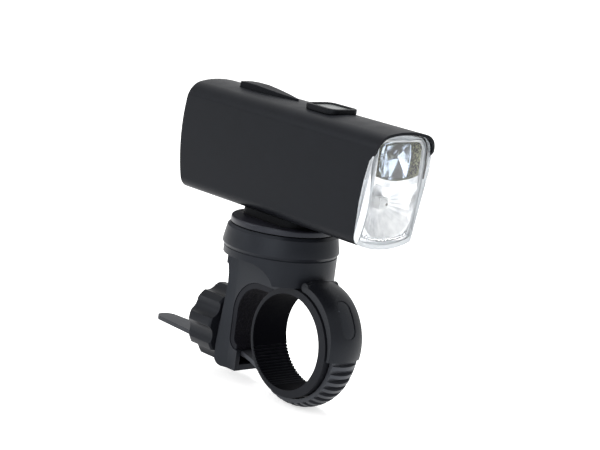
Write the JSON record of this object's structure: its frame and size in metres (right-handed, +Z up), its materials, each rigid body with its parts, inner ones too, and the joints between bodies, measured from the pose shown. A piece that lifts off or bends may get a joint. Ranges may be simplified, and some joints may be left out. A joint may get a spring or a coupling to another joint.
{
  "type": "bike headlight",
  "caption": "Rechargeable bicycle headlight with a visored clear lens on a swivel turntable over a strap-and-knob handlebar clamp.",
  "frame": {"origin": "centre of the clamped handlebar, in the middle of the clamp's width", "axes": "+X forward along the beam, +Y left along the handlebar, +Z up"},
  "size_m": [0.1087, 0.0392, 0.1008],
  "materials": {
    "bracket": "fine moulded grain",
    "pad": "textured rubber",
    "liner": "smooth rubber",
    "strap": "flexible moulding",
    "cover": "fine moulded grain",
    "inlay": "fine moulded grain",
    "knob": "fine moulded grain",
    "coil": "drawn wire",
    "steel": "zinc plated",
    "nylon": "natural",
    "disc": "satin",
    "shoe": "matt",
    "housing": "fine spark-eroded grain",
    "cap": "fine spark-eroded grain",
    "lens": "polished clear",
    "seal": "matt",
    "reflector": "metallised",
    "baffle": "dark textured",
    "optic": "polished clear",
    "pcb": "solder resist",
    "led": "phosphor under silicone",
    "sink": "milled",
    "cell": "shrink sleeve",
    "cradle": "moulded",
    "switch": "moulded",
    "signal": "clear tinted",
    "bezel": "matt",
    "pane": "smoked",
    "button": "matt",
    "plug": "matt"
  },
  "bodies": {
    "clamp": {"clamp_bracket": "bracket", "saddle_pad": "pad", "handlebar_liner": "liner", "hinge_pin": "steel", "swivel_washer": "nylon", "spring_washer": "steel"},
    "strap": {"strap_cover": "cover", "strap_inlay": "inlay", "strap_band": "strap"},
    "tail": {"strap_tail": "strap"},
    "knob": {"tension_knob": "knob", "thread_coil": "coil"},
    "lamp": {"turntable_disc": "disc", "mounting_shoe": "shoe", "pivot_bolt": "steel", "pivot_nut": "steel", "housing_shell": "housing", "rear_cap": "cap", "cap_screws": "steel", "front_lens": "lens", "lens_seal": "seal", "main_reflector": "reflector", "upper_baffle": "baffle", "upper_collimator": "optic", "led_board": "pcb", "main_led": "led", "upper_led": "led", "heat_sink": "sink", "battery_cell": "cell", "battery_cradle": "cradle", "main_board": "pcb", "charge_socket": "steel", "tact_switch": "switch", "indicator_leds": "signal", "light_guide": "optic", "indicator_bezel": "bezel", "indicator_pane": "pane"},
    "button": {"power_button": "button"},
    "flap": {"port_cover": "plug"}
  },
  "joints": [
    {"name": "lamp_swivel", "type": "hinge", "parent": "clamp", "child": "lamp", "pos_m": [-0.016, 0, 0.0354], "axis": [0, 0, 1], "continuous": true},
    {"name": "knob_turn", "type": "hinge", "parent": "clamp", "child": "knob", "pos_m": [-0.0382, 0, -0.0042], "axis": [-1, 0, 0], "range_deg": [0, 160]},
    {"name": "strap_hinge", "type": "hinge", "parent": "clamp", "child": "strap", "pos_m": [0.0052, 0, 0.01951], "axis": [0, -1, 0], "range_deg": [0, 2.41]},
    {"name": "strap_draw", "type": "slide", "parent": "clamp", "child": "tail", "axis": [1, 0, 0], "range_m": [0, 0.00134]},
    {"name": "button_press", "type": "slide", "parent": "lamp", "child": "button", "axis": [0, 0, -1], "range_m": [0, 0.0008], "stiffness_N_per_m": 800},
    {"name": "port_cover_hinge", "type": "hinge", "parent": "lamp", "child": "flap", "pos_m": [-0.05925, 0, 0.062], "axis": [0, -1, 0], "range_deg": [0, 90]}
  ],
  "couplings": [
    {"joint": "strap_hinge", "follows": "knob_turn", "ratio": 0.015},
    {"joint": "strap_draw", "follows": "knob_turn", "m_per_rad": 0.00047746}
  ]
}
